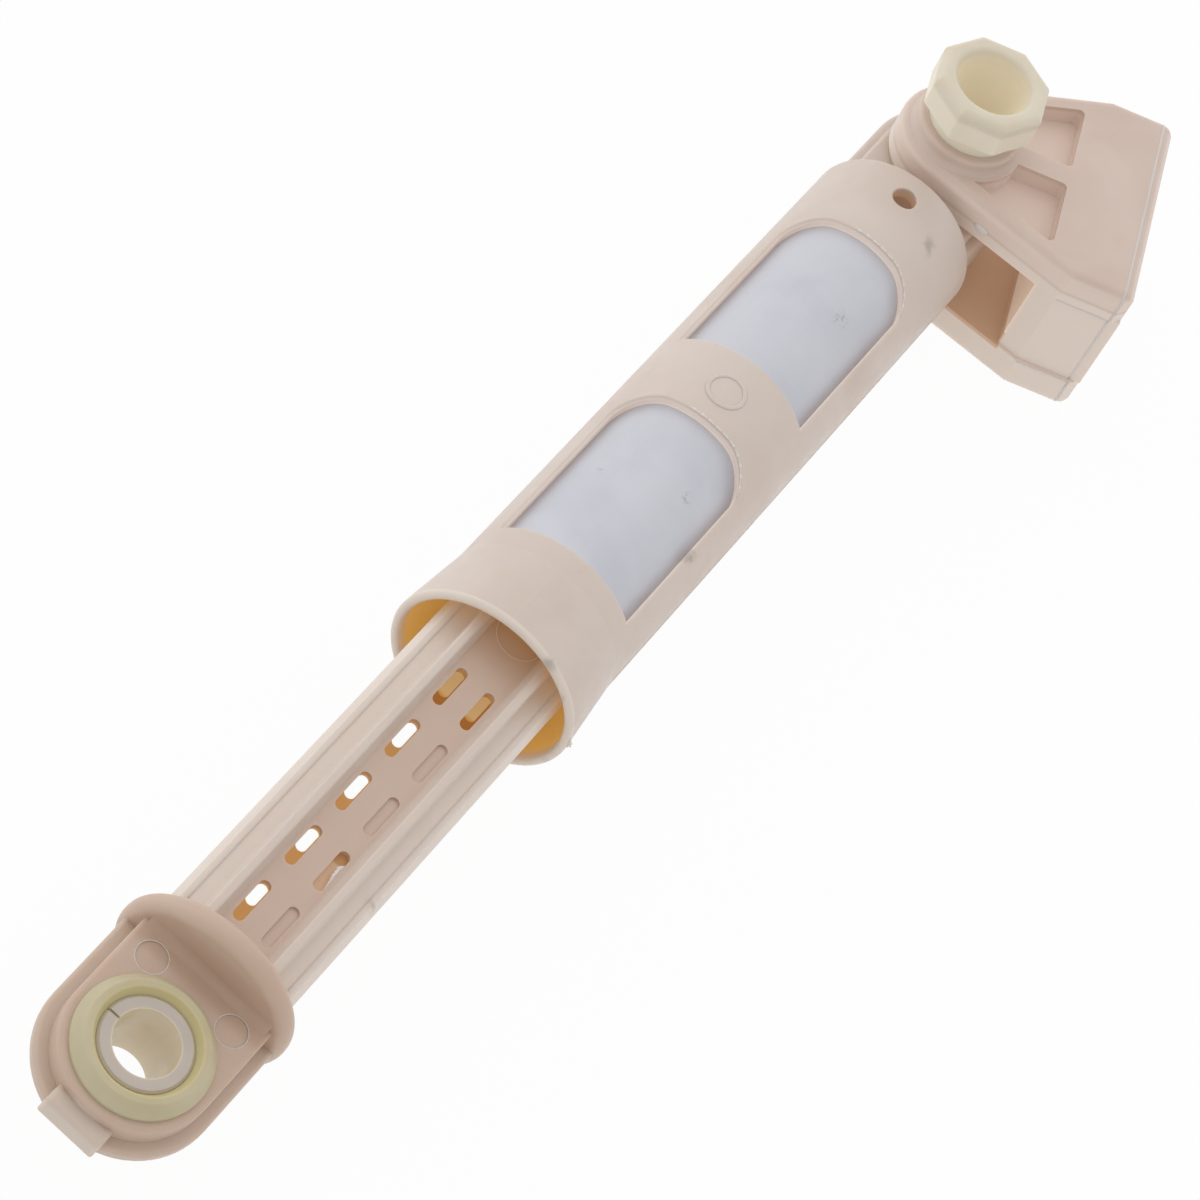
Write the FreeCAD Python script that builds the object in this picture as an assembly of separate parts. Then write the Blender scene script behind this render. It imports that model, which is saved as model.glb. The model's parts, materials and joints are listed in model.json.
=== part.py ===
"""Friction shock absorber of a washing machine.

A hollow moulded plunger slides in a moulded housing that is lined with a steel sleeve. A foam ring on the
plunger's piston grips the sleeve. The plunger ends in an eye with a soft bush and a split sleeve, and the
housing ends in a lug that carries a swivelling foot bracket on a hollow pivot pin.

Frame: origin at the centre of the plunger's eye, +X along the damper towards the foot, +Z along the pivot
pin. All sizes are in millimetres and degrees.
"""
import FreeCAD, Part
import math
import os

Vector = FreeCAD.Vector
ORIGIN = Vector(0, 0, 0)
X_AXIS = Vector(1, 0, 0)
Z_AXIS = Vector(0, 0, 1)

# Clearances shared by the fits
push_fit = 0.02
running_fit = 0.08
lining_fit = 0.1
side_clearance = 0.3
plunger_clearance = 0.4

# Housing
housing_outer_d = 32.0
housing_wall = 1.8
housing_length = 132.9
end_wall = 3.0
end_rounding = 1.2
window_edge_round = 0.5
flare_rim_d = 34.9
flare_length = 15.5
flare_lip = 1.6
window_margin = 20.2
window_length = 38.5
window_bridge = 16.3
window_width = 24.7
window_corner_r = 6.5
vent_d = 4.4
vent_inset = 6.4
vent_edge_round = 0.3

# Steel liner sleeve
liner_wall = 0.6
liner_setback = 1.0
liner_end_gap = 7.0

# Lug of the housing and its bush
pivot_reach = 15.0
lug_plateau_thickness = 15.4
lug_plateau_r = 12.0
lug_rim_step = 2.0
lug_rim_r = 13.8
plate_rounding = 0.8
lug_bush_wall = 2.4
lug_bush_flange_r = 11.2
lug_bush_flange = 1.2

# Plunger: eye plate, flange and bar
plunger_twist = 9.2
eye_to_flange = 16.5
eye_rim_r = 15.0
eye_rim_thickness = 2.6
eye_plateau_r = 12.8
eye_plateau_thickness = 11.6
gate_pad_width = 10.6
gate_pad_proud = 0.4
gate_pad_height = 3.5
gate_pad_round = 0.9
flange_r = 16.0
flange_thickness = 4.0
flange_rounding = 1.8
flange_cove_r = 1.6
exposed_bar = 72.0
bottom_gap = 3.0
web_height = 18.0
web_wall = 1.5
web_width = 9.5
recess_draft = 1.05
rib_width = 1.5
box_width = 14.0
box_wall = 2.3
shoulder_height = 13.2
wing_thickness = 3.0
rail_offset = 10.3
rail_proud = 0.4
rail_side_z = 4.8
bar_rounding = 0.5
ejector_mark_depth = 0.2
eye_ejector_d = 5.4
eye_ejector_x = 12.1
eye_ejector_y = 8.0
bar_ejector_d = 8.4
bar_ejector_x = 77.5

# Slots through the plunger's webs
slot_count = 5
slot_first = 8.4
slot_pitch = 13.2
slot_length = 8.6
slot_width = 2.0
slot_column_y = 2.9
blind_slot_depth = 0.5
film_slot_depth = 1.2
film_slot_index = 1

# Piston and friction lining
piston_collar = 3.0
lining_length = 24.0
lining_thickness = 3.1
cavity_end_wall = 4.0

# Bush and split sleeve of the eye
eye_bore_d = 10.8
eye_sleeve_wall = 2.2
eye_sleeve_length = 15.6
sleeve_split = 0.4
sleeve_bevel = 0.4
eye_bush_wall = 1.8
eye_bush_flange_r = 11.3
eye_bush_edge = 0.8
eye_bush_crest = 3.0
eye_bush_crest_r = 9.75
eye_bush_lip_r = 8.55
eye_bush_lip_depth = 1.6
eye_bush_round = 0.4

# Foot bracket
bracket_angle = -70.4
cheek_thickness = 7.2
bracket_boss_r = 11.8
bracket_waist_u = 25.0
bracket_half_width = 22.5
bracket_length = 37.3
bracket_end_bevel = 1.6
bracket_edge_round = 2.0
closing_block_start = 20.8
closing_block_inset = 0.7
pocket_end_u = 20.4
pocket_depth = 4.0
pocket_wall = 3.6
pocket_rib = 4.4
pocket_hub_r = 11.0
pocket_corner_r = 1.0
seat_boss_r = 9.7
seat_boss_height = 3.1
seat_boss_flare = 1.2
seat_boss_round = 0.8

# Pivot pin
pin_shaft_d = 13.0
pin_bore_d = 8.4
pin_collar_r = 8.0
pin_collar_height = 4.0
pin_head_flats = 20.0
pin_head_height = 7.2
pin_head_round = 0.8
pin_lip_round = 1.4
pin_mouth_d = 14.0
pin_mouth_depth = 11.5
pin_tip = 1.1
pin_tip_bevel = 0.6

# Places along the damper
flange_back_x = eye_to_flange + flange_thickness
mouth_x = flange_back_x + exposed_bar
housing_end_x = mouth_x + housing_length
cavity_end_x = housing_end_x - end_wall
pivot_x = housing_end_x + pivot_reach
piston_end_x = cavity_end_x - bottom_gap - exposed_bar
lining_start_x = piston_end_x - piston_collar - side_clearance - lining_length
piston_start_x = lining_start_x - side_clearance - piston_collar
liner_start_x = mouth_x + flare_length + liner_setback
liner_end_x = cavity_end_x - liner_end_gap

# Radii and heights that follow from the fits
housing_r = housing_outer_d / 2
flare_rim_r = flare_rim_d / 2
mouth_r = flare_rim_r - flare_lip
liner_outer_r = housing_r - housing_wall
liner_inner_r = liner_outer_r - liner_wall
plunger_r = liner_inner_r - plunger_clearance
lining_outer_r = liner_inner_r - lining_fit
lining_inner_r = lining_outer_r - lining_thickness
piston_core_r = lining_inner_r - running_fit
pin_shaft_r = pin_shaft_d / 2
lug_bush_inner_r = pin_shaft_r + running_fit
lug_bush_outer_r = lug_bush_inner_r + lug_bush_wall
lug_bush_half = lug_plateau_thickness / 2 + lug_bush_flange
gap_half = lug_bush_half + side_clearance
bracket_half_thickness = gap_half + cheek_thickness
pin_seat_z = bracket_half_thickness + seat_boss_height
eye_sleeve_r = eye_bore_d / 2 + eye_sleeve_wall
eye_bush_r = eye_sleeve_r + eye_bush_wall


def line(start, end):
    """Return a straight edge."""
    return Part.LineSegment(start, end).toShape()


def arc(start, middle, end):
    """Return an edge on the circle through three points."""
    return Part.Arc(start, middle, end).toShape()


def face_of(edges):
    """Return the flat face inside a closed run of edges."""
    return Part.Face(Part.Wire(edges))


def polygon(points):
    """Return the flat face inside a polygon."""
    return Part.Face(Part.makePolygon(points + points[:1]))


def turned(points, axis_point, axis):
    """Return the solid made by turning a polygon round an axis."""
    return polygon(points).revolve(axis_point, axis, 360)


def turned_on_z(profile):
    """Turn (radius, z) points round the Z axis."""
    return turned([Vector(r, 0, z) for r, z in profile], ORIGIN, Z_AXIS)


def x_cylinder(radius, start, end):
    """Return a cylinder on the damper's axis."""
    return Part.makeCylinder(radius, end - start, Vector(start, 0, 0), X_AXIS)


def z_cylinder(radius, low, high, x=0.0, y=0.0):
    """Return an upright cylinder."""
    return Part.makeCylinder(radius, high - low, Vector(x, y, low), Z_AXIS)


def block(x_range, y_range, z_range):
    """Return a box between pairs of limits."""
    corner = Vector(x_range[0], y_range[0], z_range[0])
    return Part.makeBox(x_range[1] - x_range[0], y_range[1] - y_range[0], z_range[1] - z_range[0], corner)


def edges_where(shape, test):
    """Return the edges of a shape that pass a test."""
    return [edge for edge in shape.Edges if test(edge)]


def lies_at(edge, axis, value):
    """Tell whether a whole edge lies at one value of x, y or z."""
    box = edge.BoundBox
    low, high = {"x": (box.XMin, box.XMax), "y": (box.YMin, box.YMax), "z": (box.ZMin, box.ZMax)}[axis]
    return abs(low - value) < 0.01 and abs(high - value) < 0.01


def to_pivot(shape):
    """Move a piece made at the origin to the lug's pivot."""
    shape.translate(Vector(pivot_x, 0, 0))
    return shape


def to_bracket(shape):
    """Move a piece made along +X at the origin to the foot bracket's rest place."""
    shape.rotate(ORIGIN, Z_AXIS, bracket_angle)
    return to_pivot(shape)


def to_plunger(shape):
    """Turn a piece of the plunger to its rest twist."""
    shape.rotate(ORIGIN, X_AXIS, plunger_twist)
    return shape


def eye_plate(radius, half_thickness, start_x, end_x):
    """Return a flat plate with a round end at start_x, a square end at end_x and rounded rims."""
    side = 1 if end_x > start_x else -1
    outline = face_of([
        arc(Vector(start_x, radius, 0), Vector(start_x - side * radius, 0, 0), Vector(start_x, -radius, 0)),
        line(Vector(start_x, -radius, 0), Vector(end_x, -radius, 0)),
        line(Vector(end_x, -radius, 0), Vector(end_x, radius, 0)),
        line(Vector(end_x, radius, 0), Vector(start_x, radius, 0)),
    ])
    outline.translate(Vector(0, 0, -half_thickness))
    plate = outline.extrude(Vector(0, 0, 2 * half_thickness))
    rims = [edge for edge in plate.Edges
            if edge.BoundBox.ZLength < 0.01 and not lies_at(edge, "x", end_x)]
    return plate.makeFillet(plate_rounding, rims)


def window_cutter(start_x):
    """Return the tool that opens one pair of windows, square at the mouth's side and round at the other."""
    half = window_width / 2
    end_x = start_x + window_length
    turn = window_corner_r * (1 - math.sqrt(0.5))
    outline = face_of([
        line(Vector(start_x, -half, 0), Vector(end_x - window_corner_r, -half, 0)),
        arc(Vector(end_x - window_corner_r, -half, 0), Vector(end_x - turn, turn - half, 0),
            Vector(end_x, window_corner_r - half, 0)),
        line(Vector(end_x, window_corner_r - half, 0), Vector(end_x, half - window_corner_r, 0)),
        arc(Vector(end_x, half - window_corner_r, 0), Vector(end_x - turn, half - turn, 0),
            Vector(end_x - window_corner_r, half, 0)),
        line(Vector(end_x - window_corner_r, half, 0), Vector(start_x, half, 0)),
        line(Vector(start_x, half, 0), Vector(start_x, -half, 0)),
    ])
    outline.translate(Vector(0, 0, -housing_outer_d))
    return outline.extrude(Vector(0, 0, 2 * housing_outer_d))


def window_rims(housing):
    """Return the edges where the windows break the housing's outer face."""
    first_x = mouth_x + window_margin
    last_x = first_x + 2 * window_length + window_bridge

    def on_outer_face(edge):
        inside = edge.BoundBox.XMin > first_x - 0.01 and edge.BoundBox.XMax < last_x + 0.01
        points = edge.discretize(3)
        return inside and all(abs(math.hypot(p.y, p.z) - housing_r) < 0.01 for p in points)

    return edges_where(housing, on_outer_face)


def is_vent_rim(edge, vent_x):
    """Tell whether an edge lies where the vent breaks the housing's outer face."""
    box = edge.BoundBox
    near = abs(box.XMin - vent_x) < vent_d and abs(box.XMax - vent_x) < vent_d
    return near and all(abs(math.hypot(p.y, p.z) - housing_r) < 0.01 for p in edge.discretize(5))


def make_housing():
    """Tube with a flared mouth, windows on two sides, a closed end and a lug."""
    lip_r = flare_lip / 2
    rim_x = mouth_x + lip_r
    flare_end_x = mouth_x + flare_length
    section = face_of([
        arc(Vector(rim_x, 0, mouth_r), Vector(mouth_x, 0, mouth_r + lip_r), Vector(rim_x, 0, flare_rim_r)),
        line(Vector(rim_x, 0, flare_rim_r), Vector(flare_end_x, 0, housing_r)),
        line(Vector(flare_end_x, 0, housing_r), Vector(housing_end_x, 0, housing_r)),
        line(Vector(housing_end_x, 0, housing_r), Vector(housing_end_x, 0, 0)),
        line(Vector(housing_end_x, 0, 0), Vector(cavity_end_x, 0, 0)),
        line(Vector(cavity_end_x, 0, 0), Vector(cavity_end_x, 0, liner_inner_r)),
        line(Vector(cavity_end_x, 0, liner_inner_r), Vector(liner_end_x, 0, liner_inner_r)),
        line(Vector(liner_end_x, 0, liner_inner_r), Vector(liner_end_x, 0, liner_outer_r)),
        line(Vector(liner_end_x, 0, liner_outer_r), Vector(flare_end_x, 0, liner_outer_r)),
        line(Vector(flare_end_x, 0, liner_outer_r), Vector(rim_x, 0, mouth_r)),
    ])
    tube = section.revolve(ORIGIN, X_AXIS, 360)
    rim = edges_where(tube, lambda edge: lies_at(edge, "x", housing_end_x) and edge.Length > housing_r)
    tube = tube.makeFillet(end_rounding, rim)
    lug_foot_x = cavity_end_x + end_wall / 2
    lug_half = lug_plateau_thickness / 2
    lug = eye_plate(lug_rim_r, lug_half - lug_rim_step, pivot_x, lug_foot_x)
    lug = lug.fuse(eye_plate(lug_plateau_r, lug_half, pivot_x, lug_foot_x))
    housing = tube.fuse(lug).removeSplitter()
    housing = housing.cut(z_cylinder(lug_bush_outer_r + push_fit, -lug_half, lug_half, pivot_x))
    for number in range(2):
        start_x = mouth_x + window_margin + number * (window_length + window_bridge)
        shell = x_cylinder(housing_outer_d, start_x, start_x + window_length)
        shell = shell.cut(x_cylinder(liner_outer_r, start_x, start_x + window_length))
        housing = housing.cut(window_cutter(start_x).common(shell))
    housing = housing.makeFillet(window_edge_round, window_rims(housing))
    vent_x = housing_end_x - vent_inset
    housing = housing.cut(z_cylinder(vent_d / 2, 0, housing_outer_d, vent_x))
    return housing.makeFillet(vent_edge_round, edges_where(housing, lambda edge: is_vent_rim(edge, vent_x)))


def make_liner():
    """Thin steel tube inside the housing."""
    outer = x_cylinder(liner_outer_r - push_fit, liner_start_x, liner_end_x)
    return outer.cut(x_cylinder(liner_inner_r, liner_start_x, liner_end_x))


def make_lug_bush():
    """Flanged plain bush of the lug."""
    body_r = lug_bush_outer_r
    seat = lug_plateau_thickness / 2
    return to_pivot(turned_on_z([
        (lug_bush_inner_r, -lug_bush_half), (lug_bush_flange_r, -lug_bush_half), (lug_bush_flange_r, -seat),
        (body_r, -seat), (body_r, seat), (lug_bush_flange_r, seat),
        (lug_bush_flange_r, lug_bush_half), (lug_bush_inner_r, lug_bush_half),
    ]))


def bar_section():
    """Return the plunger bar's outer section: webs between ribs, with shoulders and side rails."""
    web_z = web_height / 2
    recess_y = web_width / 2 + recess_draft
    rib_y = recess_y + rib_width
    rib_z = math.sqrt(plunger_r ** 2 - rib_y ** 2)
    shoulder_z = shoulder_height / 2
    wing_z = shoulder_z - wing_thickness
    rail_z = shoulder_z + rail_proud
    rail_y = math.sqrt(plunger_r ** 2 - rail_side_z ** 2)
    quarter = [
        (web_width / 2, web_z), (recess_y, rib_z), (rib_y, rib_z), (rib_y, shoulder_z),
        (rail_offset, shoulder_z), (rail_offset, rail_z), (rail_y, rail_z), (rail_y, wing_z),
        (box_width / 2, wing_z),
    ]
    right = quarter + [(y, -z) for y, z in reversed(quarter)]
    left = [(-y, -z) for y, z in right]
    return polygon([Vector(flange_back_x, y, z) for y, z in right + left])


def is_rib_edge(edge):
    """Tell whether an edge of the bar runs along a rib, and not along a rail or a side wall."""
    centre = edge.CenterOfMass
    along = edge.BoundBox.XLength > 1
    return along and abs(centre.y) < rail_offset - 0.01 and abs(centre.z) > shoulder_height / 2 - 0.01


def slot(x, y, z_range):
    """Return a round-ended slot tool along X."""
    half_run = (slot_length - slot_width) / 2
    radius = slot_width / 2
    tool = block((x - half_run, x + half_run), (y - radius, y + radius), z_range)
    for end in (-half_run, half_run):
        tool = tool.fuse(z_cylinder(radius, z_range[0], z_range[1], x + end, y))
    return tool


def slot_tools():
    """Return the tools of all slots: one open column and one mostly blind column on each web."""
    web_z = web_height / 2
    tools = []
    for face in (1, -1):
        shift = 0 if face > 0 else slot_pitch
        for number in range(slot_count):
            x = flange_back_x + slot_first + number * slot_pitch + shift
            last = number == slot_count - 1
            depth = film_slot_depth if number == film_slot_index else blind_slot_depth
            for y, cut in ((slot_column_y, web_wall), (-slot_column_y, web_wall if last else depth)):
                low, high = sorted((face * (web_z - cut), face * web_z))
                tools.append(slot(x, y, (low, high)))
    return tools


def flange_cove(side):
    """Return the hollow rounding between the eye's plateau and the flange, on the +Z or -Z side."""
    foot_z = eye_plateau_thickness / 2
    start_x = eye_to_flange - flange_cove_r
    top_z = foot_z + flange_cove_r
    sag = flange_cove_r * (1 - math.sqrt(0.5))
    root_x = eye_to_flange + flange_thickness / 2
    outline = [Vector(start_x, 0, foot_z), Vector(start_x, 0, 0), Vector(root_x, 0, 0),
               Vector(root_x, 0, top_z), Vector(eye_to_flange, 0, top_z)]
    edges = [line(a, b) for a, b in zip(outline, outline[1:])]
    edges.append(arc(outline[-1], Vector(eye_to_flange - sag, 0, foot_z + sag), outline[0]))
    outline = face_of(edges)
    half_width = eye_plateau_r - plate_rounding
    outline.translate(Vector(0, -half_width, 0))
    cove = outline.extrude(Vector(0, 2 * half_width, 0))
    cove = cove.common(x_cylinder(flange_r - flange_rounding, 0, flange_back_x))
    return cove if side > 0 else cove.mirror(ORIGIN, Z_AXIS)


def make_gate_pad():
    """Return the rounded pad on the eye's round end, where the mould was filled."""
    tip_x = -eye_rim_r - gate_pad_proud
    root_x = -(eye_bush_r + eye_plateau_r) / 2
    half = gate_pad_width / 2
    pad = block((tip_x, root_x), (-half, half), (-eye_rim_thickness / 2, gate_pad_height))
    outer = edges_where(pad, lambda edge: lies_at(edge, "x", tip_x))
    sides = edges_where(pad, lambda edge: lies_at(edge, "z", gate_pad_height) and edge.BoundBox.YLength < 0.01)
    return pad.makeFillet(gate_pad_round, outer + sides)


def make_plunger():
    """Eye plate, flange, hollow bar and piston moulded in one piece."""
    web_z = web_height / 2
    plate_end_x = eye_to_flange + flange_thickness / 2
    flange = x_cylinder(flange_r, eye_to_flange, flange_back_x)
    flange = flange.makeFillet(flange_rounding, edges_where(flange, lambda edge: edge.Length > flange_r))
    bar = bar_section().extrude(Vector(piston_start_x - flange_back_x, 0, 0))
    bar = bar.makeFillet(bar_rounding, edges_where(bar, is_rib_edge))
    bar = bar.common(x_cylinder(plunger_r, flange_back_x, piston_start_x))
    piston = x_cylinder(piston_core_r, piston_start_x, piston_end_x)
    for start_x in (piston_start_x, piston_end_x - piston_collar):
        piston = piston.fuse(x_cylinder(plunger_r, start_x, start_x + piston_collar))
    plate = eye_plate(eye_rim_r, eye_rim_thickness / 2, 0, plate_end_x)
    plate = plate.fuse(eye_plate(eye_plateau_r, eye_plateau_thickness / 2, 0, plate_end_x))
    plunger = plate.fuse([make_gate_pad(), flange, bar, piston, flange_cove(1), flange_cove(-1)]).removeSplitter()
    cavity_half_y = box_width / 2 - box_wall
    plunger = plunger.cut(block((flange_back_x + cavity_end_wall, piston_end_x),
                                (-cavity_half_y, cavity_half_y), (web_wall - web_z, web_z - web_wall)))
    plunger = plunger.cut(z_cylinder(eye_bush_r + push_fit, -eye_plateau_thickness, eye_plateau_thickness))
    plunger = plunger.cut(slot_tools())
    plateau_z = eye_plateau_thickness / 2
    for side in (-1, 1):
        plunger = plunger.cut(z_cylinder(eye_ejector_d / 2, plateau_z - ejector_mark_depth, plateau_z,
                                         eye_ejector_x, side * eye_ejector_y))
    plunger = plunger.cut(z_cylinder(bar_ejector_d / 2, web_z - ejector_mark_depth, web_z,
                                     flange_back_x + bar_ejector_x))
    return to_plunger(plunger)


def make_lining():
    """Foam ring between the piston's collars."""
    end_x = lining_start_x + lining_length
    ring = x_cylinder(lining_outer_r, lining_start_x, end_x)
    return ring.cut(x_cylinder(lining_inner_r, lining_start_x, end_x))


def make_eye_bush():
    """Soft bush of the eye, with a tapered flange that ends in a round crest on each side."""
    seat = eye_plateau_thickness / 2
    crest = seat + eye_bush_crest
    inner_r = eye_sleeve_r + push_fit
    upper = [(eye_bush_r, seat), (eye_bush_flange_r, seat), (eye_bush_flange_r, seat + eye_bush_edge),
             (eye_bush_crest_r, crest), (eye_bush_lip_r, crest), (inner_r, crest - eye_bush_lip_depth)]
    bush = turned_on_z(upper + [(r, -z) for r, z in reversed(upper)])
    edges = [edge for side in (-1, 1) for height in (seat + eye_bush_edge, crest)
             for edge in edges_where(bush, lambda edge: lies_at(edge, "z", side * height))]
    return to_plunger(bush.makeFillet(eye_bush_round, edges))


def make_eye_sleeve():
    """Split sleeve that takes the fixing bolt."""
    half = eye_sleeve_length / 2
    sleeve = z_cylinder(eye_sleeve_r, -half, half)
    sleeve = sleeve.makeChamfer(sleeve_bevel, edges_where(sleeve, lambda edge: edge.BoundBox.ZLength < 0.01))
    sleeve = sleeve.cut(z_cylinder(eye_bore_d / 2, -half, half))
    split = block((-sleeve_split / 2, sleeve_split / 2), (0, eye_sleeve_r * 2), (-half, half))
    return to_plunger(sleeve.cut(split))


def bracket_outline(inset, end_u):
    """Return the cheek's outline, drawn in by an inset and cut off at end_u.

    The sides are tangent to the boss round the pivot, widen to the waist and then run parallel.
    """
    boss_r = bracket_boss_r - inset
    corner_w = bracket_half_width - inset
    reach = math.hypot(bracket_waist_u, corner_w)
    touch = math.atan2(corner_w, bracket_waist_u) + math.acos(boss_r / reach)
    touch_u = boss_r * math.cos(touch)
    touch_w = boss_r * math.sin(touch)
    if end_u > bracket_waist_u:
        side = [(bracket_waist_u, corner_w), (end_u, corner_w)]
    else:
        share = (end_u - touch_u) / (bracket_waist_u - touch_u)
        side = [(end_u, touch_w + share * (corner_w - touch_w))]
    points = [(touch_u, touch_w)] + side
    points = [Vector(u, w, 0) for u, w in points] + [Vector(u, -w, 0) for u, w in reversed(points)]
    edges = [line(a, b) for a, b in zip(points, points[1:])]
    edges.append(arc(points[-1], Vector(-boss_r, 0, 0), points[0]))
    return face_of(edges)


def raised(face, low, high):
    """Return a flat face at z = 0 extruded between two heights."""
    lower = face.copy()
    lower.translate(Vector(0, 0, low))
    return lower.extrude(Vector(0, 0, high - low))


def make_cheek():
    """Front cheek of the bracket, with its pockets, its rounded edge and its bevelled end."""
    top_z = bracket_half_thickness
    cheek = raised(bracket_outline(0, bracket_length), gap_half, top_z)
    end = edges_where(cheek, lambda edge: lies_at(edge, "x", bracket_length)
                      and not lies_at(edge, "z", gap_half))
    cheek = cheek.makeChamfer(bracket_end_bevel, end)
    rim = edges_where(cheek, lambda edge: lies_at(edge, "z", top_z)
                      and edge.BoundBox.XMax < bracket_length - bracket_end_bevel / 2)
    cheek = cheek.makeFillet(bracket_edge_round, rim)
    pocket = raised(bracket_outline(pocket_wall, pocket_end_u), top_z - pocket_depth, top_z)
    pocket = pocket.cut(z_cylinder(pocket_hub_r, gap_half, top_z))
    pocket = pocket.cut(block((0, bracket_length), (-pocket_rib / 2, pocket_rib / 2), (gap_half, top_z)))
    corners = edges_where(pocket, lambda edge: lies_at(edge, "x", pocket_end_u) and edge.BoundBox.ZLength > 1)
    return cheek.cut(pocket.makeFillet(pocket_corner_r, corners))


def make_pin_seat():
    """Round boss under the pin's collar, with a hollow foot and a rounded top."""
    flare_z = bracket_half_thickness + seat_boss_flare
    foot_z = flare_z - seat_boss_flare * 1.4
    round_z = pin_seat_z - seat_boss_round
    bend = math.sqrt(0.5)
    foot = Vector(seat_boss_r + seat_boss_flare, 0, foot_z)
    hollow = Vector(seat_boss_r + seat_boss_flare * (1 - bend), 0, flare_z - seat_boss_flare * bend)
    neck = Vector(seat_boss_r, 0, flare_z)
    shoulder = Vector(seat_boss_r, 0, round_z)
    crown = Vector(seat_boss_r - seat_boss_round * (1 - bend), 0, round_z + seat_boss_round * bend)
    top = Vector(seat_boss_r - seat_boss_round, 0, pin_seat_z)
    base = [top, Vector(0, 0, pin_seat_z), Vector(0, 0, gap_half), Vector(seat_boss_r, 0, gap_half), foot]
    edges = [arc(foot, hollow, neck), line(neck, shoulder), arc(shoulder, crown, top)]
    edges += [line(a, b) for a, b in zip(base, base[1:])]
    return face_of(edges).revolve(ORIGIN, Z_AXIS, 360)


def make_bracket():
    """Two cheeks joined by a closing block, with a seat for the pin's head."""
    front = make_cheek()
    rear = front.mirror(ORIGIN, Z_AXIS)
    closing = raised(bracket_outline(closing_block_inset, bracket_length), -gap_half, gap_half)
    closing = closing.common(block((closing_block_start, bracket_length),
                                   (-bracket_half_width, bracket_half_width), (-gap_half, gap_half)))
    bracket = front.fuse([rear, closing, make_pin_seat()]).removeSplitter()
    hole = z_cylinder(pin_shaft_r + push_fit, -bracket_half_thickness, pin_seat_z)
    return to_bracket(bracket.cut(hole))


def make_pin():
    """Hollow pivot pin with a round collar and an eight-sided head."""
    collar_z = pin_seat_z + pin_collar_height
    head_z = collar_z + pin_head_height
    tip_z = -bracket_half_thickness - pin_tip
    bore_r = pin_bore_d / 2
    mouth_z = head_z - pin_mouth_depth
    corner_r = pin_head_flats / 2 / math.cos(math.pi / 8)
    corners = [Vector(corner_r * math.cos(angle), corner_r * math.sin(angle), collar_z)
               for angle in (math.pi * (2 * number + 1) / 8 for number in range(8))]
    head = polygon(corners).extrude(Vector(0, 0, pin_head_height))
    head = head.makeFillet(pin_head_round, edges_where(head, lambda edge: edge.BoundBox.ZLength > 1))
    head = head.makeFillet(pin_lip_round, edges_where(head, lambda edge: lies_at(edge, "z", head_z)))
    shaft = turned_on_z([
        (0, tip_z), (pin_shaft_r - pin_tip_bevel, tip_z), (pin_shaft_r, tip_z + pin_tip_bevel),
        (pin_shaft_r, pin_seat_z), (pin_collar_r, pin_seat_z), (pin_collar_r, collar_z), (0, collar_z),
    ])
    bore = turned_on_z([
        (0, tip_z), (bore_r, tip_z), (bore_r, mouth_z), (pin_mouth_d / 2, head_z), (0, head_z),
    ])
    pin = head.fuse(shaft).cut(bore)
    mouth = edges_where(pin, lambda edge: lies_at(edge, "z", head_z)
                        and abs(edge.BoundBox.XLength - pin_mouth_d) < 0.1)
    return to_bracket(pin.makeFillet(pin_lip_round, mouth))


PIECES = {
    "outer_housing": make_housing,
    "liner_sleeve": make_liner,
    "lug_bush": make_lug_bush,
    "plunger_rod": make_plunger,
    "friction_lining": make_lining,
    "rod_eye_bush": make_eye_bush,
    "rod_eye_sleeve": make_eye_sleeve,
    "foot_bracket": make_bracket,
    "pivot_pin": make_pin,
}

os.makedirs("parts", exist_ok=True)
for name, make in PIECES.items():
    shape = make()
    shape.exportStep(f"parts/{name}.step")
    box = shape.BoundBox
    print(f"{name}: {len(shape.Solids)} solid, {shape.Volume / 1000:.2f} cm3, valid {shape.isValid()}")
    print(f"  x {box.XMin:.1f}..{box.XMax:.1f}, y {box.YMin:.1f}..{box.YMax:.1f}, z {box.ZMin:.1f}..{box.ZMax:.1f}")
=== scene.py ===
"""Looks of a washing machine shock absorber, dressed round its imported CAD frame.

The frame's origin is the centre of the plunger's eye, +X runs along the damper towards the foot bracket and
+Z along the pivot pin. Lengths are in metres, and values named _mm are in millimetres.
"""
from __future__ import annotations

import json
import logging
import math
from dataclasses import dataclass
from enum import Enum

import bmesh
import bpy
from mathutils import Matrix, Vector

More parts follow.
